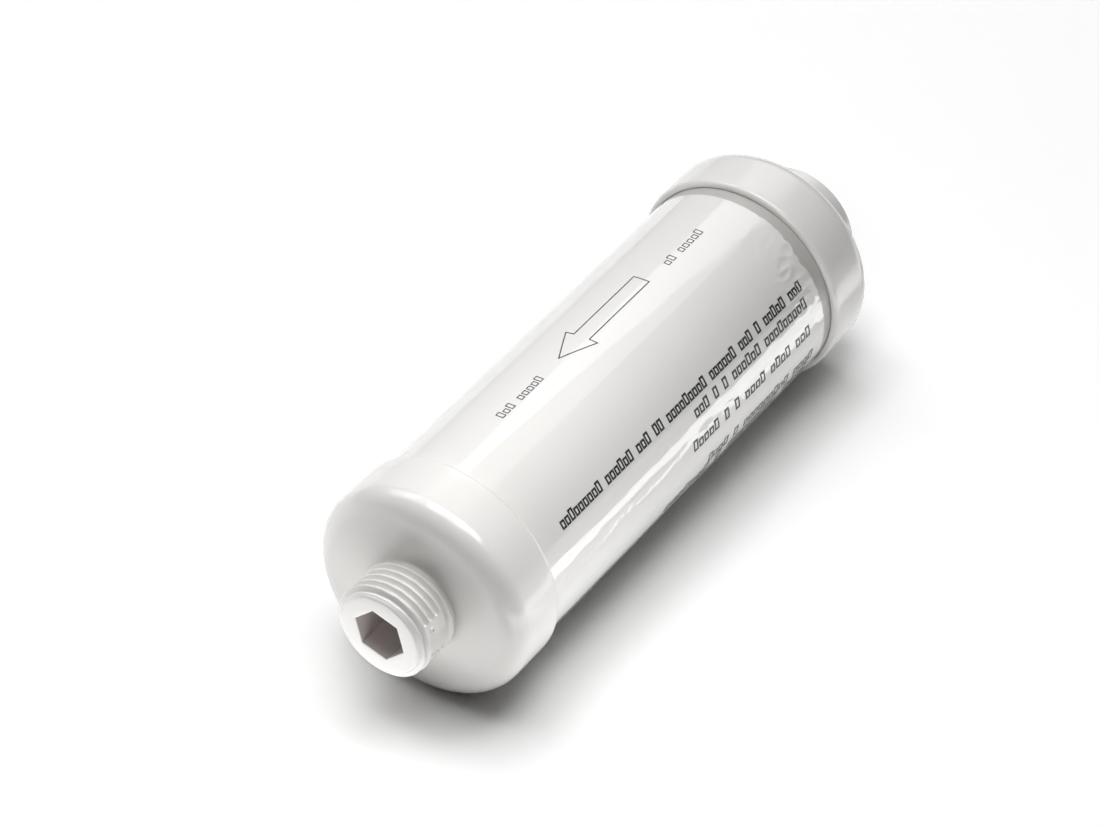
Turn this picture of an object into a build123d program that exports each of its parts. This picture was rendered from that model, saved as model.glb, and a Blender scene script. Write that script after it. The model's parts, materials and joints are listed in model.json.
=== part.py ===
from build123d import *
import os

# Inline water filter cartridge: male pipe thread at the outlet, female at the inlet.
# Millimetres, +X along the tube from outlet to inlet, +Z up.
# The origin is on the surface that the cartridge lies on, below the middle of its length.
# Pieces are drawn about the middle of the tube, and those of the inlet end are turned round.

# Tube
tube_length = 121.8
tube_radius = 22.6
tube_wall = 2.4
tube_lead_in = 0.6

# Screw thread between tube and cap, drawn as plain lands at the crest size
cap_thread_depth = 0.6
cap_thread_length = 8.4

# Label film wrapped round the tube
label_thickness = 0.2
label_outlet_bare = 0.4
label_inlet_bare = 3.0

# End cap
cap_skirt_wall = 1.25
cap_rim_land = 0.1
cap_length = 14.6
cap_face_wall = 3.0
cap_seat_depth = 4.9
cap_face_round = 4.6
plug_length = 4.9
plug_wall = 3.8

# Outlet spigot, G 1/2: major diameter 20.955, minor diameter 18.631
spigot_length = 11.5
spigot_radius = 20.955 / 2
spigot_root_radius = 18.631 / 2
spigot_nose_radius = 9.2
spigot_nose_length = 1.5
spigot_nose_round = 0.7
spigot_relief = 1.6
spigot_base_round = 0.4
hex_across_flats = 10.0
hex_turn = 16.0

# Inlet socket for the same thread, with a flat washer at its bottom
boss_length = 10.2
boss_radius = 13.2
boss_edge_round = 0.6
socket_thread_depth = 8.3
socket_lead_in = 0.5
socket_floor = 2.7
washer_recess = 0.3
washer_thickness = 2.0
washer_inner_radius = 6.6

# Cap seal
seal_groove_depth = 1.6
seal_groove_width = 2.4
seal_groove_offset = 1.2
seal_round = 0.75

# Perforated plates, screens and media
plate_thickness = 3.0
plate_rim_width = 1.6
plate_hole_radius = 1.8
plate_hole_pitch = 7.0
plate_hole_rings = 2
screen_thickness = 0.4
pad_thickness = 6.0
felt_thickness = 2.0
carbon_length = 40.0
sulphite_length = 28.0

# Clearances
socket_clearance = 0.12
washer_clearance = 0.2
thread_clearance = 0.08
mouth_clearance = 0.15
seat_clearance = 0.1
seal_clearance = 0.05
seal_side_clearance = 0.2
plug_clearance = 0.1
plate_clearance = 0.2
media_clearance = 0.1

# Stations along the axis at the outlet end
mouth_radius = tube_radius + mouth_clearance
cap_radius = mouth_radius + cap_skirt_wall
cap_rim_round = cap_skirt_wall - cap_rim_land
axis_height = cap_radius
frame_shift = (spigot_length - boss_length) / 2
bore_radius = tube_radius - tube_wall
tube_end = -tube_length / 2
land_radius = tube_radius - cap_thread_depth
land_end = tube_end + cap_thread_length
cap_seat = tube_end - seat_clearance
cap_face = cap_seat - cap_seat_depth
cap_inner_face = cap_face + cap_face_wall
cap_rim = cap_face + cap_length
cap_mouth = land_end - mouth_clearance
cap_bore_radius = land_radius + thread_clearance
plug_radius = bore_radius - plug_clearance
plug_end = cap_seat + plug_length
plenum_radius = plug_radius - plug_wall
nose = cap_face - spigot_length
boss_end = cap_face - boss_length
socket_end = cap_inner_face - socket_floor
socket_radius = spigot_radius + socket_clearance
recess_radius = socket_radius + washer_recess
groove_start = cap_seat + seal_groove_offset
groove_end = groove_start + seal_groove_width
groove_radius = plug_radius - seal_groove_depth
plate_start = plug_end + plate_clearance
media_start = plate_start + plate_thickness
media_radius = bore_radius - media_clearance
packing_length = 2 * pad_thickness + 2 * felt_thickness
copper_zinc_length = -2 * media_start - packing_length - carbon_length - sulphite_length


def turned(points, rounds=()):
    """Turn a closed half section about the tube axis; each point is (x, radius)."""
    section = make_face(Polyline(*points, close=True))
    for corner, radius in rounds:
        section = fillet(section.vertices().sort_by_distance(Vector(*corner))[:1], radius)
    return Pos(0, 0, axis_height) * revolve(section, Axis.X)


def disc(start, thickness, radius):
    """A plain round slice of the media column."""
    end = start + thickness
    return turned([(start, 0), (start, radius), (end, radius), (end, 0)])


def across(x):
    """The plane square to the tube axis at x, with its own x along +Y."""
    return Plane(origin=(x, 0, axis_height), x_dir=(0, 1, 0), z_dir=(1, 0, 0))


def make_tube():
    """Straight tube whose two ends are turned down for the cap threads."""
    return turned([
        (tube_end, bore_radius + tube_lead_in),
        (tube_end, land_radius),
        (land_end, land_radius),
        (land_end, tube_radius),
        (-land_end, tube_radius),
        (-land_end, land_radius),
        (-tube_end, land_radius),
        (-tube_end, bore_radius + tube_lead_in),
        (-tube_end - tube_lead_in, bore_radius),
        (tube_end + tube_lead_in, bore_radius),
    ])


def make_label():
    """Printed film round the tube, ending short of the inlet cap."""
    start = cap_rim + label_outlet_bare
    end = -cap_rim - label_inlet_bare
    outside = tube_radius + label_thickness
    return turned([(start, tube_radius), (start, outside), (end, outside), (end, tube_radius)])


def cap_body(connection, rounds):
    """Screw cap with its plug and seal groove; connection is the half section out to the face."""
    face_corner = (cap_face, cap_radius)
    rim_corner = (cap_rim, cap_radius)
    shell = [
        face_corner,
        rim_corner,
        (cap_rim, mouth_radius),
        (cap_mouth, mouth_radius),
        (cap_mouth, cap_bore_radius),
        (cap_seat, cap_bore_radius),
        (cap_seat, plug_radius),
        (groove_start, plug_radius),
        (groove_start, groove_radius),
        (groove_end, groove_radius),
        (groove_end, plug_radius),
        (plug_end, plug_radius),
        (plug_end, plenum_radius),
        (cap_inner_face, plenum_radius),
        (cap_inner_face, 0),
    ]
    rounds = rounds + [(face_corner, cap_face_round), (rim_corner, cap_rim_round)]
    hexagon = RegularPolygon(hex_across_flats / 2, 6, major_radius=False, rotation=hex_turn)
    passage = extrude(across(nose) * hexagon, cap_inner_face - nose)
    return turned(connection + shell, rounds) - passage


def make_outlet_cap():
    """Cap with the threaded spigot, whose hex passage takes the water and the key."""
    thread_start = nose + spigot_nose_length
    thread_end = cap_face - spigot_relief
    crest_start = thread_start + spigot_radius - spigot_root_radius
    nose_corner = (nose, spigot_nose_radius)
    base_corner = (cap_face, spigot_root_radius)
    spigot = [
        (nose, 0),
        nose_corner,
        (thread_start, spigot_nose_radius),
        (thread_start, spigot_root_radius),
        (crest_start, spigot_radius),
        (thread_end, spigot_radius),
        (thread_end, spigot_root_radius),
        base_corner,
    ]
    return cap_body(spigot, [(nose_corner, spigot_nose_round), (base_corner, spigot_base_round)])


def make_inlet_cap():
    """Cap with the threaded socket and the recess that traps its washer, drawn at the outlet end."""
    thread_end = boss_end + socket_thread_depth
    edge_corner = (boss_end, boss_radius)
    base_corner = (cap_face, boss_radius)
    boss = [
        (socket_end, 0),
        (socket_end, recess_radius),
        (thread_end, recess_radius),
        (thread_end, socket_radius),
        (boss_end + socket_lead_in, socket_radius),
        (boss_end, socket_radius + socket_lead_in),
        edge_corner,
        base_corner,
    ]
    return cap_body(boss, [(edge_corner, boss_edge_round), (base_corner, spigot_base_round)])


def make_washer():
    """Flat washer on the bottom of the inlet socket, drawn at the outlet end."""
    outside = recess_radius - washer_clearance
    start = socket_end - washer_thickness
    return turned([
        (start, washer_inner_radius),
        (start, outside),
        (socket_end, outside),
        (socket_end, washer_inner_radius),
    ])


def make_seal():
    """O-ring as it lies squeezed between the groove and the tube's bore."""
    inside = groove_radius + seal_clearance
    outside = bore_radius - seal_clearance
    start = groove_start + seal_side_clearance
    end = groove_end - seal_side_clearance
    corners = [(start, inside), (start, outside), (end, outside), (end, inside)]
    return turned(corners, [(corner, seal_round) for corner in corners])


def make_plate():
    """Perforated plate with a shallow rim that the screen lies in."""
    rim_radius = media_radius - plate_rim_width
    floor = media_start - screen_thickness
    plate = turned([
        (plate_start, 0),
        (plate_start, media_radius),
        (media_start, media_radius),
        (media_start, rim_radius),
        (floor, rim_radius),
        (floor, 0),
    ])
    spots = [Pos(0, 0)]
    for ring in range(1, plate_hole_rings + 1):
        spots += PolarLocations(ring * plate_hole_pitch, 6 * ring).locations
    holes = Sketch() + [spot * Circle(plate_hole_radius) for spot in spots]
    return plate - extrude(across(plate_start) * holes, plate_thickness)


def make_screen():
    """Fine wire screen that lies in the plate's rim."""
    radius = media_radius - plate_rim_width - media_clearance
    return disc(media_start - screen_thickness, screen_thickness, radius)


def make_media():
    """Slices of the media column, listed from outlet to inlet."""
    slices = [
        ("outlet_pad", pad_thickness),
        ("carbon_bed", carbon_length),
        ("outlet_felt", felt_thickness),
        ("sulphite_bed", sulphite_length),
        ("inlet_felt", felt_thickness),
        ("copper_zinc_bed", copper_zinc_length),
        ("inlet_pad", pad_thickness),
    ]
    start = media_start
    column = {}
    for name, thickness in slices:
        column[name] = disc(start, thickness, media_radius)
        start += thickness
    return column


def turn_round(piece):
    """Take a piece of the outlet end to the inlet end."""
    return Rot(0, 0, 180) * piece


nodes = {"body_tube": make_tube(), "label_film": make_label()}
nodes["outlet_cap"] = make_outlet_cap()
nodes["inlet_cap"] = turn_round(make_inlet_cap())
nodes["inlet_washer"] = turn_round(make_washer())
for name, piece in {"seal_ring": make_seal(), "plate": make_plate(), "screen": make_screen()}.items():
    nodes["outlet_" + name] = piece
    nodes["inlet_" + name] = turn_round(piece)
nodes.update(make_media())

os.makedirs("parts", exist_ok=True)
for name, piece in nodes.items():
    export_step(Pos(frame_shift, 0, 0) * piece, f"parts/{name}.step")
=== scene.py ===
import json
import math

import bmesh
import bpy
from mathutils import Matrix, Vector, noise


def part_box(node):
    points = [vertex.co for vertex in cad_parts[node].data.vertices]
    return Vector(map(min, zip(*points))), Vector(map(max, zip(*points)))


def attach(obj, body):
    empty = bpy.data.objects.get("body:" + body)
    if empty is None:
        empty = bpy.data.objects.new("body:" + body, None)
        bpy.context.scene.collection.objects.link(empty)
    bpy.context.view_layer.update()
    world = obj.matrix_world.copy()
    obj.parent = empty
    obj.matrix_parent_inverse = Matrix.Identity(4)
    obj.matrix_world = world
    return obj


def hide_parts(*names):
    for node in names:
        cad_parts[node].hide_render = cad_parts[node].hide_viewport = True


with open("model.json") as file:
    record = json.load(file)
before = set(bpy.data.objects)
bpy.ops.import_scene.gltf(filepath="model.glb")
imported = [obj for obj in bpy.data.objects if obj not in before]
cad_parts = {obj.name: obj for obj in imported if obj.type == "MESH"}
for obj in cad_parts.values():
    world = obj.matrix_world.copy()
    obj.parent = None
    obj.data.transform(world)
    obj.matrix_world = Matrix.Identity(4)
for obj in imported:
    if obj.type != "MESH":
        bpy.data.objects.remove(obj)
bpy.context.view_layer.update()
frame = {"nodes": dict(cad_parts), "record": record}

MM = 0.001
FULL_TURN = 2 * math.pi

# Sizes read from the frame, in metres
outlet_low, outlet_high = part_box("outlet_cap")
inlet_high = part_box("inlet_cap")[1]
tube_low, tube_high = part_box("body_tube")
film_low, film_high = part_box("label_film")
media_low, media_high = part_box("carbon_bed")
AXIS_HEIGHT = (tube_low.z + tube_high.z) / 2
MIDDLE_X = (tube_low.x + tube_high.x) / 2
CAP_RADIUS = (outlet_high.z - outlet_low.z) / 2
TUBE_RADIUS = (tube_high.z - tube_low.z) / 2
FILM_RADIUS = (film_high.z - film_low.z) / 2
MEDIA_CLEARANCE = 0.1 * MM
BORE_RADIUS = (media_high.z - media_low.z) / 2 + MEDIA_CLEARANCE
NOSE_X = outlet_low.x
RIM_X = outlet_high.x
TUBE_END_X = tube_low.x
BOSS_END_X = 2 * MIDDLE_X - inlet_high.x

# Cap, as on the solids
CAP_FACE_X = NOSE_X + 11.5 * MM
INNER_FACE_X = CAP_FACE_X + 3.0 * MM
CAP_FACE_ROUND = 4.6 * MM
CAP_RIM_ROUND = 1.15 * MM
BASE_ROUND = 0.4 * MM
LAND_RADIUS = TUBE_RADIUS - 0.6 * MM
LAND_LENGTH = 8.4 * MM
TUBE_LEAD_IN = 0.6 * MM
MOUTH_RADIUS = TUBE_RADIUS + 0.15 * MM
CAP_BORE_RADIUS = LAND_RADIUS + 0.08 * MM
CAP_SEAT_X = TUBE_END_X - 0.1 * MM
CAP_MOUTH_X = TUBE_END_X + LAND_LENGTH - 0.15 * MM
PLUG_RADIUS = BORE_RADIUS - 0.1 * MM
PLENUM_RADIUS = PLUG_RADIUS - 3.8 * MM
PLUG_END_X = CAP_SEAT_X + 4.9 * MM
GROOVE_X = CAP_SEAT_X + 1.2 * MM
GROOVE_WIDTH = 2.4 * MM
GROOVE_RADIUS = PLUG_RADIUS - 1.6 * MM

# Outlet spigot; distances along it are from the nose
NOSE_RADIUS = 9.2 * MM
NOSE_ROUND = 0.7 * MM
PIPE_PITCH = 1.814 * MM
PIPE_CREST = 10.4775 * MM
PIPE_ROOT = 9.36 * MM
PIPE_CREST_PHASE = 0.837
PIPE_FLAT = 0.083 * PIPE_PITCH
PIPE_STRAIGHT = 0.4
PIPE_FADE_IN = (0.75 * MM, 1.1 * MM)
PIPE_FADE_OUT = (9.95 * MM, 10.4 * MM)
PAD_DISTANCE = 9.65 * MM
PAD_RADIUS = 9.9 * MM
PAD_TURN = math.radians(4)
PAD_EDGE = (math.cos(math.radians(34)), math.cos(math.radians(31)))
PAD_FADE_IN = (2.7 * MM, 3.0 * MM)
PAD_FADE_OUT = (8.3 * MM, 8.6 * MM)
HEX_ACROSS_FLATS = 10.0 * MM
HEX_TURN = math.radians(16)
MOUTH_EDGE = 0.25 * MM
MOUTH_EDGE_RING = 0.3
PASSAGE_RING = 4 * MM

# Inlet socket; distances along it are from the end of its boss
BOSS_RADIUS = 13.2 * MM
BOSS_EDGE_ROUND = 0.6 * MM
SOCKET_RADIUS = PIPE_CREST + 0.12 * MM
SOCKET_CREST = 9.48 * MM
SOCKET_LEAD_IN = 0.5 * MM
SOCKET_THREAD_DEPTH = 8.3 * MM
SOCKET_RUN_OUT = 0.2 * MM
SOCKET_FLOOR_X = INNER_FACE_X - 2.7 * MM
RECESS_RADIUS = SOCKET_RADIUS + 0.3 * MM

# Screw thread between tube and caps; crest halves and flank ends are measured from a crest's middle
SCREW_PITCH = 2.0 * MM
SCREW_ROOT = LAND_RADIUS - 0.55 * MM
SCREW_CAP_CREST = SCREW_ROOT + 0.1 * MM
SCREW_CREST_HALF = 0.3 * MM
SCREW_FLANK_END = 0.6 * MM
SCREW_CAP_CREST_HALF = 0.15 * MM
SCREW_CAP_FLANK_END = 0.38 * MM
SCREW_LEAD_IN = 0.8 * MM
SCREW_FADE_OUT = (0.9 * MM, 0.2 * MM)
SCREW_CAP_MOUTH = (0.2 * MM, 1.2 * MM)
SCREW_CAP_START_X = CAP_SEAT_X + 1.0 * MM
SHOULDER_EDGE = 0.1 * MM

# Fineness of the meshes
CAP_COLUMNS = 216
TUBE_COLUMNS = 216
FILM_COLUMNS = 432
FACE_ROUND_STEPS = 18
EDGE_STEPS = 8
FOOT_STEPS = 5
SKIRT_STEPS = 4
FACE_STEPS = 3
SPIGOT_STEPS = 96
SOCKET_STEPS = 72
CAP_BORE_STEPS = 46
LAND_STEPS = 64
TUBE_STEPS = 12
TUBE_BORE_STEPS = 8
FILM_STEPS = 170


def smooth(edges, value):
    """Smooth step from 0 at the first edge to 1 at the second."""
    low, high = edges
    t = min(max((value - low) / (high - low), 0), 1)
    return t * t * (3 - 2 * t)


def round_corner(centre_x, centre_r, radius, start, end, steps):
    """Points of an arc in the half section, by angle in degrees from +x towards the outside."""
    points = []
    for i in range(steps + 1):
        a = math.radians(start + (end - start) * i / steps)
        points.append((centre_x + radius * math.cos(a), centre_r + radius * math.sin(a)))
    return points


def along(start, end, steps):
    """Evenly spaced values from start to end, both included."""
    return [start + (end - start) * i / steps for i in range(steps + 1)]


def at(value, angle):
    """A row's x or radius at an angle."""
    return value(angle) if callable(value) else value


def ring_mesh(name, rows, columns, turn=0.0, turned_round=False, sharp=38):
    """Closed body from rows (x, radius), each a number or a function of the angle.

    The rows go round the half section once and the last row joins the first.
    The angle runs from +Y towards +Z. A body that is turned round belongs to the inlet end.
    """
    side = -1 if turned_round else 1
    shift = 2 * MIDDLE_X if turned_round else 0
    verts = []
    for x, radius in rows:
        for c in range(columns):
            a = turn + FULL_TURN * c / columns
            r = at(radius, a)
            verts.append((shift + side * at(x, a), side * r * math.cos(a), AXIS_HEIGHT + r * math.sin(a)))
    return finished_mesh(name, verts, ring_faces(len(rows), columns), sharp)


def ring_faces(rows, columns):
    """Faces of a closed grid whose last row joins the first, and whose columns go all the way round."""
    faces = []
    for i in range(rows):
        j = (i + 1) % rows
        for c in range(columns):
            d = (c + 1) % columns
            faces.append((i * columns + c, i * columns + d, j * columns + d, j * columns + c))
    return faces


def finished_mesh(name, verts, faces, sharp):
    """Mesh object with outward normals, smooth but for edges sharper than the given angle."""
    mesh = bpy.data.meshes.new(name)
    mesh.from_pydata(verts, [], faces)
    shape = bmesh.new()
    shape.from_mesh(mesh)
    bmesh.ops.recalc_face_normals(shape, faces=shape.faces)
    shape.to_mesh(mesh)
    shape.free()
    mesh.shade_smooth()
    mesh.set_sharp_from_angle(angle=math.radians(sharp))
    obj = bpy.data.objects.new(name, mesh)
    bpy.context.scene.collection.objects.link(obj)
    return obj


def hex_radius(angle):
    """Radius of the hexagonal passage at an angle."""
    sector = math.radians(60)
    off = (angle - HEX_TURN) % sector - sector / 2
    return HEX_ACROSS_FLATS / 2 / math.cos(off)


def hex_to_round(share, radius):
    """Outline between the hexagon (share 0) and a circle (share 1)."""
    return lambda a: hex_radius(a) * (1 - share) + radius * share


def helix_offset(x, angle, pitch, phase):
    """Distance along the axis from the middle of the nearest crest of a right-hand thread."""
    turns = (x / pitch - angle / FULL_TURN - phase) % 1
    return min(turns, 1 - turns) * pitch


def pipe_profile(offset):
    """Share of the pipe thread's depth, for a 55 degree form with round crests and roots."""
    t = min(max((PIPE_PITCH / 2 - PIPE_FLAT - offset) / (PIPE_PITCH / 2 - 2 * PIPE_FLAT), 0), 1)
    return PIPE_STRAIGHT * t + (1 - PIPE_STRAIGHT) * t * t * (3 - 2 * t)


def spigot_radius(s):
    """Radius of the spigot at distance s from its nose, with pads that break the thread at both sides."""
    threaded = smooth(PIPE_FADE_IN, s) * (1 - smooth(PIPE_FADE_OUT, s))
    padded = smooth(PAD_FADE_IN, s) * (1 - smooth(PAD_FADE_OUT, s))

    def radius(a):
        offset = helix_offset(s, a, PIPE_PITCH, PIPE_CREST_PHASE)
        r = PIPE_ROOT + (PIPE_CREST - PIPE_ROOT) * pipe_profile(offset) * threaded
        across = abs(math.cos(a - PAD_TURN))
        if across > PAD_EDGE[0]:
            pad = min(PAD_DISTANCE / across, PAD_RADIUS)
            r += (pad - r) * padded * smooth(PAD_EDGE, across)
        return r

    return radius


def socket_radius(s):
    """Radius of the threaded inlet socket at distance s from the end of its boss."""
    threaded = smooth((SOCKET_LEAD_IN, SOCKET_LEAD_IN + PIPE_PITCH / 2), s)
    threaded *= 1 - smooth((SOCKET_THREAD_DEPTH - PIPE_PITCH / 2, SOCKET_THREAD_DEPTH - SOCKET_RUN_OUT), s)

    def radius(a):
        offset = helix_offset(s, a, PIPE_PITCH, 0)
        return SOCKET_RADIUS - (SOCKET_RADIUS - SOCKET_CREST) * pipe_profile(offset) * threaded

    return radius


def screw_share(offset, half, end):
    """Share of the screw thread's depth at an offset from its crest's middle."""
    return min(max((end - offset) / (end - half), 0), 1)


def screw_land_radius(x, threaded):
    """Radius of the tube's threaded land."""
    def radius(a):
        offset = helix_offset(x - MIDDLE_X, a, SCREW_PITCH, 0)
        share = screw_share(offset, SCREW_CREST_HALF, SCREW_FLANK_END) * threaded
        return SCREW_ROOT + (LAND_RADIUS - SCREW_ROOT) * share

    return radius


def screw_bore_radius(x, threaded):
    """Radius of the cap's threaded bore, whose ridges lie between those of the tube."""
    def radius(a):
        offset = SCREW_PITCH / 2 - helix_offset(x - MIDDLE_X, a, SCREW_PITCH, 0)
        share = screw_share(offset, SCREW_CAP_CREST_HALF, SCREW_CAP_FLANK_END) * threaded
        return CAP_BORE_RADIUS + (SCREW_CAP_CREST - CAP_BORE_RADIUS) * share

    return radius


def skirt_rows():
    """Half section of either cap, from the foot of its connection over the rim to the passage."""
    outer = CAP_RADIUS - CAP_FACE_ROUND
    rows = round_corner(CAP_FACE_X + CAP_FACE_ROUND, outer, CAP_FACE_ROUND, 180, 90, FACE_ROUND_STEPS)
    rows += [(x, CAP_RADIUS) for x in along(rows[-1][0], RIM_X - CAP_RIM_ROUND, SKIRT_STEPS)[1:-1]]
    rows += round_corner(RIM_X - CAP_RIM_ROUND, CAP_RADIUS - CAP_RIM_ROUND, CAP_RIM_ROUND, 90, 0, EDGE_STEPS)
    rows += [(RIM_X, MOUTH_RADIUS), (CAP_MOUTH_X, MOUTH_RADIUS), (CAP_MOUTH_X, CAP_BORE_RADIUS)]
    mouth = (CAP_MOUTH_X - SCREW_CAP_MOUTH[0], CAP_MOUTH_X - SCREW_CAP_MOUTH[1])
    for x in along(mouth[0], SCREW_CAP_START_X, CAP_BORE_STEPS):
        threaded = smooth(mouth, x)
        threaded *= smooth((SCREW_CAP_START_X, SCREW_CAP_START_X + SCREW_LEAD_IN), x)
        rows.append((x, screw_bore_radius(x, threaded)))
    rows += [
        (CAP_SEAT_X, CAP_BORE_RADIUS),
        (CAP_SEAT_X, PLUG_RADIUS),
        (GROOVE_X, PLUG_RADIUS),
        (GROOVE_X, GROOVE_RADIUS),
        (GROOVE_X + GROOVE_WIDTH, GROOVE_RADIUS),
        (GROOVE_X + GROOVE_WIDTH, PLUG_RADIUS),
        (PLUG_END_X, PLUG_RADIUS),
        (PLUG_END_X, PLENUM_RADIUS),
        (INNER_FACE_X, PLENUM_RADIUS),
        (INNER_FACE_X, hex_to_round(0.5, PLENUM_RADIUS)),
    ]
    return rows


def face_rows(radius):
    """The foot of a connection of this radius, and the cap's flat face."""
    rows = round_corner(CAP_FACE_X - BASE_ROUND, radius + BASE_ROUND, BASE_ROUND, 270, 360, FOOT_STEPS)
    face = along(radius + BASE_ROUND, CAP_RADIUS - CAP_FACE_ROUND, FACE_STEPS)
    rows += [(CAP_FACE_X, r) for r in face[1:-1]]
    return rows


def make_outlet_cap():
    """Cap with the threaded spigot and its hexagonal passage."""
    widen = MOUTH_EDGE / (HEX_ACROSS_FLATS / 2)
    rows = [(x, hex_radius) for x in (INNER_FACE_X, NOSE_X + PASSAGE_RING, NOSE_X + MOUTH_EDGE)]
    ring = MOUTH_EDGE_RING
    rows.append((NOSE_X + ring * MOUTH_EDGE, lambda a: hex_radius(a) * (1 + ring * widen)))
    rows.append((NOSE_X, lambda a: hex_radius(a) * (1 + widen)))
    rows += [(NOSE_X, hex_to_round(share, NOSE_RADIUS - NOSE_ROUND)) for share in (0.35, 0.7)]
    nose = round_corner(NOSE_X + NOSE_ROUND, NOSE_RADIUS - NOSE_ROUND, NOSE_ROUND, 180, 90, EDGE_STEPS)
    rows += nose[:-1]
    for s in along(NOSE_ROUND, PIPE_FADE_OUT[1], SPIGOT_STEPS):
        rows.append((NOSE_X + s, spigot_radius(s)))
    rows += face_rows(PIPE_ROOT) + skirt_rows()
    cap = ring_mesh("outlet_cap_moulding", rows, CAP_COLUMNS, HEX_TURN)
    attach(cap, "outlet_cap")
    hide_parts("outlet_cap")
    return cap


def make_inlet_cap():
    """Cap with the threaded socket, made at the outlet end and turned round."""
    rows = [(INNER_FACE_X, hex_radius), (SOCKET_FLOOR_X, hex_radius)]
    rows += [(SOCKET_FLOOR_X, hex_to_round(0.5, RECESS_RADIUS)), (SOCKET_FLOOR_X, RECESS_RADIUS)]
    rows.append((BOSS_END_X + SOCKET_THREAD_DEPTH, RECESS_RADIUS))
    for s in along(SOCKET_THREAD_DEPTH, SOCKET_LEAD_IN, SOCKET_STEPS):
        rows.append((BOSS_END_X + s, socket_radius(s)))
    rows.append((BOSS_END_X, SOCKET_RADIUS + SOCKET_LEAD_IN))
    edge = BOSS_EDGE_ROUND
    rows += round_corner(BOSS_END_X + edge, BOSS_RADIUS - edge, edge, 180, 90, EDGE_STEPS)
    rows += face_rows(BOSS_RADIUS) + skirt_rows()
    cap = ring_mesh("inlet_cap_moulding", rows, CAP_COLUMNS, HEX_TURN, turned_round=True)
    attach(cap, "inlet_cap")
    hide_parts("inlet_cap")
    return cap


def land_rows():
    """Half section of the tube's threaded end, from its mouth to the shoulder."""
    end = TUBE_END_X + LAND_LENGTH
    rows = [(TUBE_END_X, BORE_RADIUS + TUBE_LEAD_IN), (TUBE_END_X, SCREW_ROOT)]
    fade_out = (end - SCREW_FADE_OUT[0], end - SCREW_FADE_OUT[1])
    for x in along(TUBE_END_X, end, LAND_STEPS)[1:-1]:
        threaded = smooth((TUBE_END_X, TUBE_END_X + SCREW_LEAD_IN), x) * (1 - smooth(fade_out, x))
        rows.append((x, screw_land_radius(x, threaded)))
    rows += [(end, SCREW_ROOT), (end, TUBE_RADIUS - SHOULDER_EDGE), (end + SHOULDER_EDGE, TUBE_RADIUS)]
    return rows


def make_tube():
    """Pressure tube with a screw thread at each end."""
    near = land_rows()
    far = [(2 * MIDDLE_X - x, turned_radius(r)) for x, r in reversed(near)]
    rows = near + [(x, TUBE_RADIUS) for x in along(near[-1][0], far[0][0], TUBE_STEPS)[1:-1]] + far
    low = TUBE_END_X + TUBE_LEAD_IN
    rows += [(x, BORE_RADIUS) for x in along(2 * MIDDLE_X - low, low, TUBE_BORE_STEPS)]
    tube = ring_mesh("tube_extrusion", rows, TUBE_COLUMNS)
    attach(tube, "housing")
    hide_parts("body_tube")
    return tube


def turned_radius(radius):
    """A radius function of the outlet end, seen after half a turn about the upright axis."""
    if not callable(radius):
        return radius
    return lambda a: radius(math.pi - a)


# Label film; angles here and below are in degrees from the top towards -Y
FILM_INSIDE = TUBE_RADIUS + 0.005 * MM
FILM_TIGHT = 0.03 * MM
RIPPLE_HEIGHT = 0.02 * MM
RIPPLE_SIZE = (14 * MM, 9 * MM)
RIPPLE_SEED = 3.1

# Slack: where the film comes loose, with a wandering and torn line
SLACK_ANGLE = 80
SLACK_STEP = 1.3
SLACK_LIFT = 0.11 * MM
SLACK_END = (104, 120)
SLACK_WANDER = 4.0
SLACK_WANDER_LENGTH = 9 * MM
SLACK_WANDER_SEED = 4.4
SLACK_TEAR = 3.4
SLACK_TEAR_LENGTH = 1.7 * MM
SLACK_TEAR_SEED = 9.1
SLACK_RIPPLE_HEIGHT = 0.05 * MM
SLACK_RIPPLE_SIZE = (4.2 * MM, 2.6 * MM)
SLACK_RIPPLE_WIDTH = 13
SLACK_RIPPLE_SEED = 8.7

# Creases near the inlet cap
CREASE_ANGLE = 48
CREASE_WIDTH = 20
CREASE_HEIGHT = 0.25 * MM
CREASE_SIZE = (4.0 * MM, 2.4 * MM)
CREASE_SEED = 5.3
CREASE_SHARPNESS = 2.4
CREASE_FADE_IN = (13 * MM, 7 * MM)

# Seam at the back
SEAM_ANGLE = -148
SEAM_WIDTH = 14
SEAM_RISE = 0.8
SEAM_FALL = 6
SEAM_HEIGHT = 0.1 * MM

# Uneven end beside the inlet cap
END_SHORT = 0.2 * MM
END_TILT = 0.3 * MM
END_TILT_ANGLE = 5
NOTCH_ANGLE = 47
NOTCH_WIDTH = 12
NOTCH_DEPTH = 0.9 * MM
RAGGED_ANGLE = 38
RAGGED_WIDTH = 22
RAGGED_STEP = 3.5
RAGGED_DEPTH = 0.7 * MM
RAGGED_SEED = 6.3


def bell(value, middle, width):
    """Bell curve with its top of 1 at the middle."""
    return math.exp(-((value - middle) / width) ** 2)


def side_angle(angle):
    """Angle from the top towards -Y, in degrees from -180 to 180."""
    return (math.degrees(angle) - 90 + 180) % 360 - 180


def ripple(x, angle, size, seed):
    """Smooth noise on the tube's surface, with a typical length along it and width round it."""
    length, width = size
    y = FILM_RADIUS * math.cos(angle) / width
    z = FILM_RADIUS * math.sin(angle) / width
    return noise.noise(Vector((x / length + seed, y, z)))


def crease(x, angle):
    """Sharp-edged noise from 0 to 1, like creases in film."""
    return 1 - min(abs(CREASE_SHARPNESS * ripple(x, angle, CREASE_SIZE, CREASE_SEED)), 1)


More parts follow.
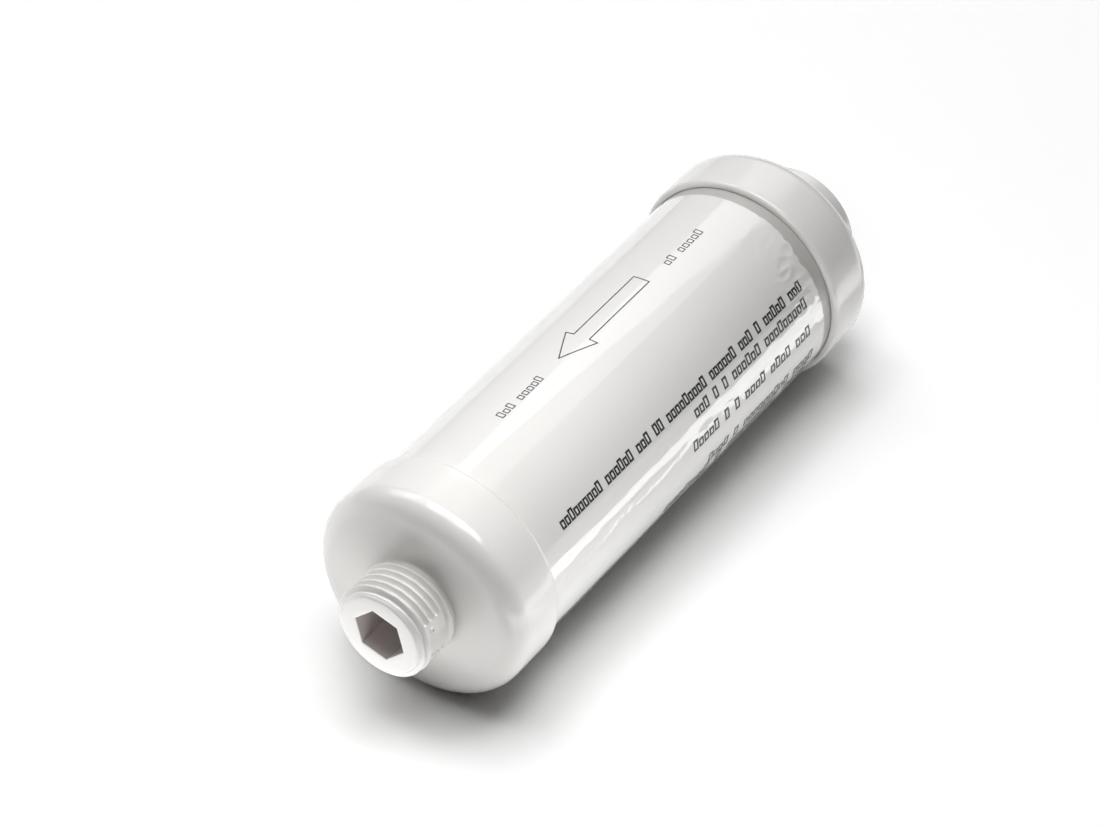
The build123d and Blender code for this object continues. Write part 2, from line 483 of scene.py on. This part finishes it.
def slack_line(x):
    """Angle in degrees at which the film comes loose from the tube, wandering along it."""
    wide = noise.noise(Vector((x / SLACK_WANDER_LENGTH, SLACK_WANDER_SEED, 0)))
    fine = noise.noise(Vector((x / SLACK_TEAR_LENGTH, SLACK_TEAR_SEED, 0)))
    return SLACK_ANGLE + SLACK_WANDER * wide + SLACK_TEAR * fine


def film_radius(x, angle):
    """Outside radius of the label film."""
    side = side_angle(angle)
    lift = RIPPLE_HEIGHT * ripple(x, angle, RIPPLE_SIZE, RIPPLE_SEED)
    slack_ripple = bell(side, SLACK_ANGLE, SLACK_RIPPLE_WIDTH)
    lift += SLACK_RIPPLE_HEIGHT * slack_ripple * ripple(x, angle, SLACK_RIPPLE_SIZE, SLACK_RIPPLE_SEED)
    line = slack_line(x)
    loose = smooth((line - SLACK_STEP, line + SLACK_STEP), side) * (1 - smooth(SLACK_END, side))
    lift += SLACK_LIFT * loose
    near_end = smooth((film_high.x - CREASE_FADE_IN[0], film_high.x - CREASE_FADE_IN[1]), x)
    lift += CREASE_HEIGHT * bell(side, CREASE_ANGLE, CREASE_WIDTH) * near_end * crease(x, angle)
    over = smooth((SEAM_ANGLE, SEAM_ANGLE + SEAM_RISE), side)
    over *= 1 - smooth((SEAM_ANGLE + SEAM_WIDTH, SEAM_ANGLE + SEAM_WIDTH + SEAM_FALL), side)
    return FILM_RADIUS - FILM_TIGHT + lift + SEAM_HEIGHT * over


def film_end(angle):
    """Where the film stops beside the inlet cap: cut a little unevenly."""
    side = side_angle(angle)
    ragged = noise.noise(Vector((side / RAGGED_STEP, RAGGED_SEED, 0)))
    end = film_high.x + END_TILT * math.cos(math.radians(side - END_TILT_ANGLE)) - END_SHORT
    end -= bell(side, NOTCH_ANGLE, NOTCH_WIDTH) * NOTCH_DEPTH
    return end + bell(side, RAGGED_ANGLE, RAGGED_WIDTH) * RAGGED_DEPTH * ragged


def film_row(share):
    """One ring of the film's outside, at a share of its length."""
    def place(a):
        return film_low.x + (film_end(a) - film_low.x) * share

    def radius(a):
        return film_radius(place(a), a)

    return place, radius


def make_film():
    """Printed film round the tube as a closed shell."""
    rows = [(film_low.x, FILM_INSIDE)]
    rows += [film_row(i / FILM_STEPS) for i in range(FILM_STEPS + 1)]
    rows += [(film_end, FILM_INSIDE), (lambda a: (film_low.x + film_end(a)) / 2, FILM_INSIDE)]
    film = ring_mesh("label_wrap", rows, FILM_COLUMNS, sharp=50)
    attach(film, "housing")
    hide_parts("label_film")
    return film


# Print: a flow arrow in outline, and rows of plain boxes
INK_PROUD = 0.03 * MM
INK_SUNK = 0.06 * MM
INK_STEP = 0.3 * MM
BOX_MARGIN = 0.2
SHORT_BOX = 0.7
ARROW_STROKE = 0.26 * MM
ARROW_SIDE = -5.8
ARROW_TAIL_X = 17.8 * MM
ARROW_HEAD_X = -3.9 * MM
ARROW_TIP_X = -12.0 * MM
ARROW_SHAFT_HALF = 1.85 * MM
ARROW_HEAD_HALF = 3.8 * MM


def surface_point(flat, height):
    """Point at a height above the film, from its (x, arc from the top towards -Y)."""
    angle = math.pi / 2 + flat.y / FILM_RADIUS
    r = film_radius(flat.x, angle) + height
    return (flat.x, r * math.cos(angle), AXIS_HEIGHT + r * math.sin(angle))


def offset_outline(points, distance):
    """The outline moved outwards by a distance, with mitred corners; points go anticlockwise."""
    moved = []
    for i in range(len(points)):
        before, here, after = (Vector(points[(i + k) % len(points)]) for k in (-1, 0, 1))
        d1 = (here - before).normalized()
        d2 = (after - here).normalized()
        n1 = Vector((d1.y, -d1.x))
        n2 = Vector((d2.y, -d2.x))
        mitre = (n1 + n2).normalized()
        moved.append(here + mitre * (distance / mitre.dot(n1)))
    return moved


def add_outline(verts, faces, outline, stroke):
    """Closed line of ink along an outline of (x, arc from the top) points."""
    outside = offset_outline(outline, stroke / 2)
    inside = offset_outline(outline, -stroke / 2)
    first = len(verts)
    stations = 0
    for i in range(len(outline)):
        j = (i + 1) % len(outline)
        cuts = max(1, round((outside[j] - outside[i]).length / INK_STEP))
        for k in range(cuts):
            outer = outside[i].lerp(outside[j], k / cuts)
            inner = inside[i].lerp(inside[j], k / cuts)
            verts += [surface_point(outer, INK_PROUD), surface_point(inner, INK_PROUD)]
            verts += [surface_point(inner, -INK_SUNK), surface_point(outer, -INK_SUNK)]
            stations += 1
    faces += [tuple(first + corner for corner in face) for face in ring_faces(stations, 4)]


def add_arrow(verts, faces):
    """Outline arrow that points to the outlet."""
    middle = math.radians(ARROW_SIDE) * FILM_RADIUS
    add_outline(verts, faces, [
        (ARROW_TIP_X, middle),
        (ARROW_HEAD_X, middle - ARROW_HEAD_HALF),
        (ARROW_HEAD_X, middle - ARROW_SHAFT_HALF),
        (ARROW_TAIL_X, middle - ARROW_SHAFT_HALF),
        (ARROW_TAIL_X, middle + ARROW_SHAFT_HALF),
        (ARROW_HEAD_X, middle + ARROW_SHAFT_HALF),
        (ARROW_HEAD_X, middle + ARROW_HEAD_HALF),
    ], ARROW_STROKE)


def add_boxes(verts, faces, start, end, side, height, stroke, groups):
    """Row of open boxes along the tube; groups are the numbers of boxes between gaps.

    The first box of a group is tall, and so are a few others.
    """
    base = math.radians(side) * FILM_RADIUS + height / 2
    step = (end - start) / (sum(groups) + len(groups) - 1)
    place = start
    for number, group in enumerate(groups):
        for k in range(group):
            tall = k == 0 or (3 * k + 2 * number) % 7 == 1
            top = base - height * (1 if tall else SHORT_BOX)
            left = place + BOX_MARGIN * step
            right = place + (1 - BOX_MARGIN) * step
            add_outline(verts, faces, [(left, base), (right, base), (right, top), (left, top)], stroke)
            place += step
        place += step


# Rows of boxes in millimetres and degrees: start, end, side, height, stroke and groups
PRINT_ROWS = [
    (37.6, 24.2, -2.2, 1.7, 0.22, (5, 2)),
    (-18.6, -33.2, -5.3, 1.7, 0.22, (5, 3)),
    (44.7, -43.1, 56.4, 2.1, 0.44, (3, 5, 1, 3, 6, 9, 2, 3, 6, 9)),
    (44.2, 2.0, 65.8, 2.1, 0.44, (9, 6, 1, 1, 3)),
    (43.5, -1.0, 81.6, 2.1, 0.44, (3, 4, 4, 1, 1, 5)),
    (45.1, 4.9, 100.0, 2.1, 0.44, (4, 9, 1, 4)),
    (43.8, -10.3, 106.5, 2.1, 0.44, (4, 8, 1, 7)),
]


def make_print():
    """Ink on the film: the arrow and the rows of boxes."""
    verts = []
    faces = []
    add_arrow(verts, faces)
    for start, end, side, height, stroke, groups in PRINT_ROWS:
        add_boxes(verts, faces, start * MM, end * MM, side, height * MM, stroke * MM, groups)
    ink = finished_mesh("label_print", verts, faces, sharp=30)
    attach(ink, "housing")
    return ink


# Moulding mark: a low ring on the spigot's pad, as radius and height above the pad in millimetres
MARK_DISTANCE = 4.25 * MM
MARK_ANGLE = math.radians(90 + 72)
MARK_PROFILE = [
    (0.26, -0.1),
    (0.26, 0.3),
    (0.36, 0.38),
    (0.5, 0.36),
    (0.62, 0.15),
    (0.8, 0.02),
    (0.8, -0.4),
    (0.26, -0.4),
]
MARK_COLUMNS = 28


def make_gate_mark():
    """Small round moulding mark on the spigot's pad."""
    out = Vector((0, math.cos(MARK_ANGLE), math.sin(MARK_ANGLE)))
    round_about = Vector((0, -out.z, out.y))
    centre = Vector((NOSE_X + MARK_DISTANCE, 0, AXIS_HEIGHT)) + out * PAD_RADIUS
    verts = []
    for radius, height in MARK_PROFILE:
        for c in range(MARK_COLUMNS):
            a = FULL_TURN * c / MARK_COLUMNS
            flat = Vector((math.cos(a), 0, 0)) + round_about * math.sin(a)
            verts.append(centre + (out * height + flat * radius) * MM)
    rings = len(MARK_PROFILE)
    mark = finished_mesh("outlet_gate_mark", verts, ring_faces(rings, MARK_COLUMNS), sharp=40)
    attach(mark, "outlet_cap")
    return mark


def node_input(node, name, value):
    node.inputs[name].default_value = value


class Finish:
    """A Principled material with helpers for noise, colour ramps and bump in object space."""

    def __init__(self, name, colour, roughness):
        self.material = bpy.data.materials.new(name)
        self.material.use_nodes = True
        self.nodes = self.material.node_tree.nodes
        self.links = self.material.node_tree.links
        self.shader = self.nodes["Principled BSDF"]
        self.set("Base Color", (*colour, 1))
        self.set("Roughness", roughness)
        self.place = self.nodes.new("ShaderNodeTexCoord").outputs["Object"]

    def set(self, name, value):
        self.shader.inputs[name].default_value = value

    def scaled(self, scale):
        """Object coordinates stretched by a scale on each axis."""
        mapping = self.nodes.new("ShaderNodeMapping")
        node_input(mapping, "Scale", scale)
        self.links.new(self.place, mapping.inputs["Vector"])
        return mapping.outputs["Vector"]

    def noise(self, scale, detail=3.0, stretch=(1, 1, 1)):
        texture = self.nodes.new("ShaderNodeTexNoise")
        node_input(texture, "Scale", scale)
        node_input(texture, "Detail", detail)
        self.links.new(self.scaled(stretch), texture.inputs["Vector"])
        return texture.outputs["Fac"]

    def cells(self, scale):
        texture = self.nodes.new("ShaderNodeTexVoronoi")
        node_input(texture, "Scale", scale)
        self.links.new(self.place, texture.inputs["Vector"])
        return texture.outputs["Distance"]

    def wave(self, scale, direction):
        texture = self.nodes.new("ShaderNodeTexWave")
        texture.bands_direction = direction
        node_input(texture, "Scale", scale)
        self.links.new(self.place, texture.inputs["Vector"])
        return texture.outputs["Fac"]

    def math(self, operation, first, second):
        node = self.nodes.new("ShaderNodeMath")
        node.operation = operation
        for socket, value in zip(node.inputs, (first, second)):
            if isinstance(value, (int, float)):
                socket.default_value = value
            else:
                self.links.new(value, socket)
        return node.outputs[0]

    def vector(self, operation, first, second=(0, 0, 0)):
        """Vector math node on a socket and a fixed vector."""
        node = self.nodes.new("ShaderNodeVectorMath")
        node.operation = operation
        self.links.new(first, node.inputs[0])
        node.inputs[1].default_value = second
        return node

    def passage_shade_mask(self):
        """Mask for painted shade: 1 in the hexagonal passages and 0 elsewhere, by the place on the cap."""
        apart = self.vector("DISTANCE", self.scaled((0, 1, 1)), (0, 0, AXIS_HEIGHT))
        parts = self.nodes.new("ShaderNodeSeparateXYZ")
        self.links.new(self.place, parts.inputs[0])
        within = self.math("LESS_THAN", apart.outputs["Value"], PASSAGE_SHADE_REACH)
        behind = self.math("GREATER_THAN", parts.outputs["X"], NOSE_X + MOUTH_EDGE / 2)
        return self.math("MULTIPLY", within, behind)

    def ramp(self, factor, stops, target):
        """Colour or roughness from a factor through a ramp of (place, colour) stops."""
        node = self.nodes.new("ShaderNodeValToRGB")
        points = node.color_ramp.elements
        while len(points) < len(stops):
            points.new(0.5)
        for point, (position, colour) in zip(points, stops):
            point.position = position
            point.color = (*colour, 1) if isinstance(colour, tuple) else (colour, colour, colour, 1)
        self.links.new(factor, node.inputs["Fac"])
        self.links.new(node.outputs["Color"], self.shader.inputs[target])

    def mixed(self, factor, colour, target):
        """Take the target from what already feeds it to a colour, by a factor."""
        node = self.nodes.new("ShaderNodeMix")
        node.data_type = "RGBA"
        socket = self.shader.inputs[target]
        self.links.new(factor, node.inputs["Factor"])
        self.links.new(socket.links[0].from_socket, node.inputs["A"])
        node.inputs["B"].default_value = (*colour, 1)
        self.links.new(node.outputs["Result"], socket)

    def bump(self, height, distance, strength=1.0):
        node = self.nodes.new("ShaderNodeBump")
        node_input(node, "Distance", distance)
        node_input(node, "Strength", strength)
        self.links.new(height, node.inputs["Height"])
        self.links.new(node.outputs["Normal"], self.shader.inputs["Normal"])


def tinted(colour, share):
    return tuple(c * share for c in colour)


CAP_WHITE = (0.82, 0.805, 0.785)
FILM_WHITE = (0.81, 0.80, 0.78)
# Bare tube: its own greyish tone, darkened further with painted shade of the recess between the film's end
# and the cap rim
TUBE_GREY_AND_SHADE = (0.50, 0.49, 0.47)
# Painted shade inside the hexagonal passages, and how far from the axis it reaches
PASSAGE_PAINTED_SHADE = (0.60, 0.555, 0.545)
PASSAGE_SHADE_REACH = 5.95 * MM


def cap_finish():
    f = Finish("cap_plastic", CAP_WHITE, 0.2)
    f.ramp(f.noise(90, 4), [(0.3, tinted(CAP_WHITE, 0.985)), (0.7, CAP_WHITE)], "Base Color")
    # Painted shade: the hexagonal passages get a darker grey where light hardly reaches into them
    f.mixed(f.passage_shade_mask(), PASSAGE_PAINTED_SHADE, "Base Color")
    f.ramp(f.noise(240, 3), [(0.3, 0.16), (0.7, 0.24)], "Roughness")
    f.bump(f.noise(1500, 2), 0.00002, 0.15)
    f.set("Coat Weight", 0.4)
    f.set("Coat Roughness", 0.12)
    return f.material


def film_finish():
    f = Finish("label_film", FILM_WHITE, 0.14)
    f.ramp(f.noise(60, 3), [(0.35, tinted(FILM_WHITE, 0.99)), (0.65, FILM_WHITE)], "Base Color")
    f.ramp(f.noise(180, 3), [(0.3, 0.07), (0.7, 0.11)], "Roughness")
    f.bump(f.noise(700, 2), 0.00001, 0.3)
    f.set("Coat Weight", 1.0)
    f.set("Coat Roughness", 0.03)
    f.set("Coat IOR", 1.6)
    return f.material


def tube_finish():
    f = Finish("tube_plastic", TUBE_GREY_AND_SHADE, 0.3)
    # The base colour holds painted shade of the recess beside the cap as well as the tube's own tone
    f.ramp(f.noise(80, 3, (0.1, 1, 1)), [(0.3, tinted(TUBE_GREY_AND_SHADE, 0.97)), (0.7, TUBE_GREY_AND_SHADE)], "Base Color")
    f.bump(f.noise(900, 2, (0.05, 1, 1)), 0.00002, 0.3)
    return f.material


def ink_finish():
    f = Finish("label_ink", (0.02, 0.02, 0.022), 0.3)
    f.ramp(f.noise(2500, 2), [(0.3, (0.014, 0.014, 0.016)), (0.75, (0.04, 0.04, 0.042))], "Base Color")
    f.ramp(f.noise(1800, 2), [(0.3, 0.22), (0.7, 0.4)], "Roughness")
    return f.material


def rubber_finish():
    f = Finish("seal_rubber", (0.03, 0.03, 0.03), 0.6)
    f.ramp(f.noise(400, 4), [(0.3, (0.022, 0.022, 0.022)), (0.7, (0.04, 0.04, 0.04))], "Base Color")
    f.bump(f.noise(1200, 3), 0.00003, 0.4)
    return f.material


def plate_finish():
    white = (0.78, 0.78, 0.76)
    f = Finish("plate_plastic", white, 0.5)
    f.ramp(f.noise(150, 4), [(0.3, tinted(white, 0.96)), (0.7, white)], "Base Color")
    f.bump(f.noise(900, 3), 0.00003, 0.5)
    return f.material


def screen_finish():
    f = Finish("screen_steel", (0.62, 0.62, 0.61), 0.35)
    weave = f.math("MULTIPLY", f.wave(180, "Y"), f.wave(180, "Z"))
    f.ramp(weave, [(0.02, (0.05, 0.05, 0.05)), (0.3, (0.62, 0.62, 0.61))], "Base Color")
    f.bump(weave, 0.0001, 0.8)
    f.set("Metallic", 1.0)
    return f.material


def fibre_finish(name, colour):
    f = Finish(name, colour, 0.95)
    strands = f.math("MULTIPLY", f.noise(900, 4, (1, 0.2, 1)), f.noise(900, 4, (1, 1, 0.2)))
    f.ramp(strands, [(0.1, tinted(colour, 0.75)), (0.4, colour)], "Base Color")
    f.bump(strands, 0.0003, 0.8)
    f.set("Sheen Weight", 0.3)
    return f.material


def granule_finish(name, dark, light, roughness, metallic=0.0):
    f = Finish(name, light, roughness)
    cells = f.cells(900)
    # Painted shade: each granule darkens towards its edge, where the granules meet, with random tone from
    # noise
    f.ramp(f.math("MULTIPLY", cells, f.noise(700, 3)), [(0.05, light), (0.35, dark)], "Base Color")
    f.bump(f.math("SUBTRACT", 1.0, cells), 0.0006, 0.9)
    f.set("Metallic", metallic)
    return f.material


def set_material(obj, material):
    obj.data.materials.clear()
    obj.data.materials.append(material)


cap_plastic = cap_finish()
for piece in (make_outlet_cap(), make_inlet_cap(), make_gate_mark()):
    set_material(piece, cap_plastic)
set_material(make_tube(), tube_finish())
set_material(make_film(), film_finish())
set_material(make_print(), ink_finish())

INNER_FINISHES = {
    "seal_rubber": rubber_finish(),
    "plate_plastic": plate_finish(),
    "screen_steel": screen_finish(),
    "pad_fibre": fibre_finish("pad_fibre", (0.85, 0.85, 0.83)),
    "felt": fibre_finish("felt", (0.75, 0.74, 0.70)),
    "carbon_granules": granule_finish("carbon_granules", (0.008, 0.008, 0.008), (0.03, 0.03, 0.03), 0.6),
    "sulphite_granules": granule_finish("sulphite_granules", (0.55, 0.52, 0.45), (0.80, 0.78, 0.72), 0.5),
    "copper_zinc_granules": granule_finish(
        "copper_zinc_granules", (0.22, 0.13, 0.05), (0.45, 0.30, 0.12), 0.4, 0.6),
}
for subpart in frame["record"]["subparts"]:
    if subpart["material_slot"] in INNER_FINISHES:
        set_material(frame["nodes"][subpart["node"]], INNER_FINISHES[subpart["material_slot"]])

# Camera at the photograph's viewing angle
CAMERA_FROM_NOSE = Vector((-473.63, -358.46, 572.47)) * MM
LOOK = Vector((0.62544, 0.42151, -0.65662))
FOCAL_PIXELS = 4319.8
PHOTO_WIDTH = 1100
camera_data = bpy.data.cameras.new("camera")
camera_data.sensor_width = 36
camera_data.lens = FOCAL_PIXELS / PHOTO_WIDTH * camera_data.sensor_width
camera = bpy.data.objects.new("camera", camera_data)
bpy.context.scene.collection.objects.link(camera)
camera.location = Vector((NOSE_X, 0, AXIS_HEIGHT)) + CAMERA_FROM_NOSE
camera.rotation_mode = "QUATERNION"
camera.rotation_quaternion = LOOK.to_track_quat("-Z", "Y")
bpy.context.scene.camera = camera

# Floor: its white, what it throws back, and a painted glow of light that fades towards the line under the
# object
FLOOR_SIZE = 6
FLOOR_WHITE = 0.97
FLOOR_BOUNCE = 0.5
FLOOR_LINE = 0.055
FLOOR_SHIFT = 0.009
FLOOR_NEAR = 0.006
FLOOR_FAR = 0.033
FLOOR_PAINTED_GLOW = 0.18


def seen_rays(tree):
    """1 for rays that show the surroundings, and 0 for rays that light the object."""
    path = tree.nodes.new("ShaderNodeLightPath").outputs
    seen = path["Is Camera Ray"]
    for name in ("Is Glossy Ray", "Is Transmission Ray"):
        most = tree.nodes.new("ShaderNodeMath")
        most.operation = "MAXIMUM"
        tree.links.new(seen, most.inputs[0])
        tree.links.new(path[name], most.inputs[1])
        seen = most.outputs[0]
    return seen


def floor_finish():
    """Matt white sheet that throws back less light than it shows, and pales away from the object with
    painted light.
    """
    f = Finish("floor", (FLOOR_WHITE, FLOOR_WHITE, FLOOR_WHITE), 0.8)
    seen = seen_rays(f.material.node_tree)
    f.ramp(seen, [(0.0, FLOOR_BOUNCE), (1.0, FLOOR_WHITE)], "Base Color")
    away = f.vector("ADD", f.place, (0, FLOOR_SHIFT, 0))
    away = f.vector("ABSOLUTE", away.outputs["Vector"])
    away = f.vector("SUBTRACT", away.outputs["Vector"], (FLOOR_LINE, 0, 0))
    away = f.vector("MAXIMUM", away.outputs["Vector"])
    away = f.vector("LENGTH", away.outputs["Vector"])
    far = f.nodes.new("ShaderNodeMapRange")
    far.interpolation_type = "SMOOTHSTEP"
    node_input(far, "From Min", FLOOR_NEAR)
    node_input(far, "From Max", FLOOR_FAR)
    node_input(far, "To Max", FLOOR_PAINTED_GLOW)
    f.links.new(away.outputs["Value"], far.inputs["Value"])
    # Painted light: emission seen by the camera and in reflections, rising with distance from the object
    f.set("Emission Color", (1, 1, 1, 1))
    f.links.new(f.math("MULTIPLY", seen, far.outputs["Result"]), f.shader.inputs["Emission Strength"])
    f.bump(f.noise(500, 2), 0.00002, 0.2)
    f.set("Specular IOR Level", 0.0)
    return f.material


bpy.ops.mesh.primitive_plane_add(size=FLOOR_SIZE, location=(0, 0, 0))
floor = bpy.context.object
floor.name = "floor"
set_material(floor, floor_finish())

# World: brighter to the eye and in reflections than the light it gives
WORLD_HORIZON = (0.5, 0.5, 0.5)
WORLD_ZENITH = (1, 1, 1)
WORLD_LIGHT = 0.04
WORLD_SEEN = 0.3
world = bpy.data.worlds.new("world")
bpy.context.scene.world = world
world.use_nodes = True
sky_nodes = world.node_tree.nodes
sky_links = world.node_tree.links
sky_place = sky_nodes.new("ShaderNodeTexCoord")
sky_split = sky_nodes.new("ShaderNodeSeparateXYZ")
sky_ramp = sky_nodes.new("ShaderNodeValToRGB")
sky_ramp.color_ramp.elements[0].color = (*WORLD_HORIZON, 1)
sky_ramp.color_ramp.elements[1].color = (*WORLD_ZENITH, 1)
sky_links.new(sky_place.outputs["Generated"], sky_split.inputs[0])
sky_links.new(sky_split.outputs["Z"], sky_ramp.inputs["Fac"])
sky_links.new(sky_ramp.outputs["Color"], sky_nodes["Background"].inputs["Color"])
sky_level = sky_nodes.new("ShaderNodeMapRange")
node_input(sky_level, "To Min", WORLD_LIGHT)
node_input(sky_level, "To Max", WORLD_SEEN)
sky_links.new(seen_rays(world.node_tree), sky_level.inputs["Value"])
sky_links.new(sky_level.outputs["Result"], sky_nodes["Background"].inputs["Strength"])


def add_lamp(name, place, target, size, radiance):
    """Rectangular soft lamp at a place, turned towards a target."""
    data = bpy.data.lights.new(name, "AREA")
    data.shape = "RECTANGLE"
    data.size, data.size_y = size
    data.energy = radiance * math.pi * size[0] * size[1]
    lamp = bpy.data.objects.new(name, data)
    bpy.context.scene.collection.objects.link(lamp)
    lamp.location = place
    lamp.rotation_mode = "QUATERNION"
    lamp.rotation_quaternion = (Vector(target) - Vector(place)).to_track_quat("-Z", "Y")
    lamp.visible_camera = False
    return lamp


# Softboxes above and behind, a small lamp near the outlet, and a panel that only shows as a reflection
add_lamp("softbox", (0.05, 0, 1.7), (0, 0, 0), (1.1, 1.1), 3.5)
add_lamp("back_softbox", (0.2, 0.62, 1.6), (0, 0, 0), (1.2, 1.2), 1.6)
add_lamp("back_lamp", (0.05, 0.8, 0.9), (0, 0, 0), (0.6, 0.6), 2.1)
add_lamp("far_lamp", (1.2, 0.4, 0.9), (0, 0, 0), (0.8, 0.8), 0.85)
add_lamp("near_lamp", (-0.04, -0.05, 0.14), (-0.05, 0, 0.02), (0.05, 0.05), 6.4)
panel = add_lamp("panel", (0.75, 0.533, 0.525), (0.75, 0.133, -0.003), (0.7, 1.67), 0.58)
panel.visible_diffuse = False

CARD_HEIGHT = 0.002


def add_card(name, x, y, size, radiance):
    """Lamp that lies on the floor, for the light that a bright sheet throws back."""
    card = add_lamp(name, (x, y, CARD_HEIGHT), (x, y, 1), size, radiance)
    card.visible_glossy = False
    return card


# Light from the floor round the near end and along the side; the last card only shows as a reflection
add_card("left_card", -0.12, 0.12, (0.12, 0.12), 3.7)
add_card("nose_card", -0.105, 0, (0.04, 0.06), 3.6)
add_card("near_card", -0.055, -0.055, (0.05, 0.03), 4.6)
add_card("far_card", 0.075, -0.04, (0.03, 0.02), 2.3)
add_card("side_card", 0.015, -0.055, (0.08, 0.03), 2.0)
shine = add_card("shine", 0.05, -0.077, (0.36, 0.05), 1.9)
shine.visible_glossy = True
shine.visible_diffuse = False

bpy.context.scene.view_settings.view_transform = "Standard"
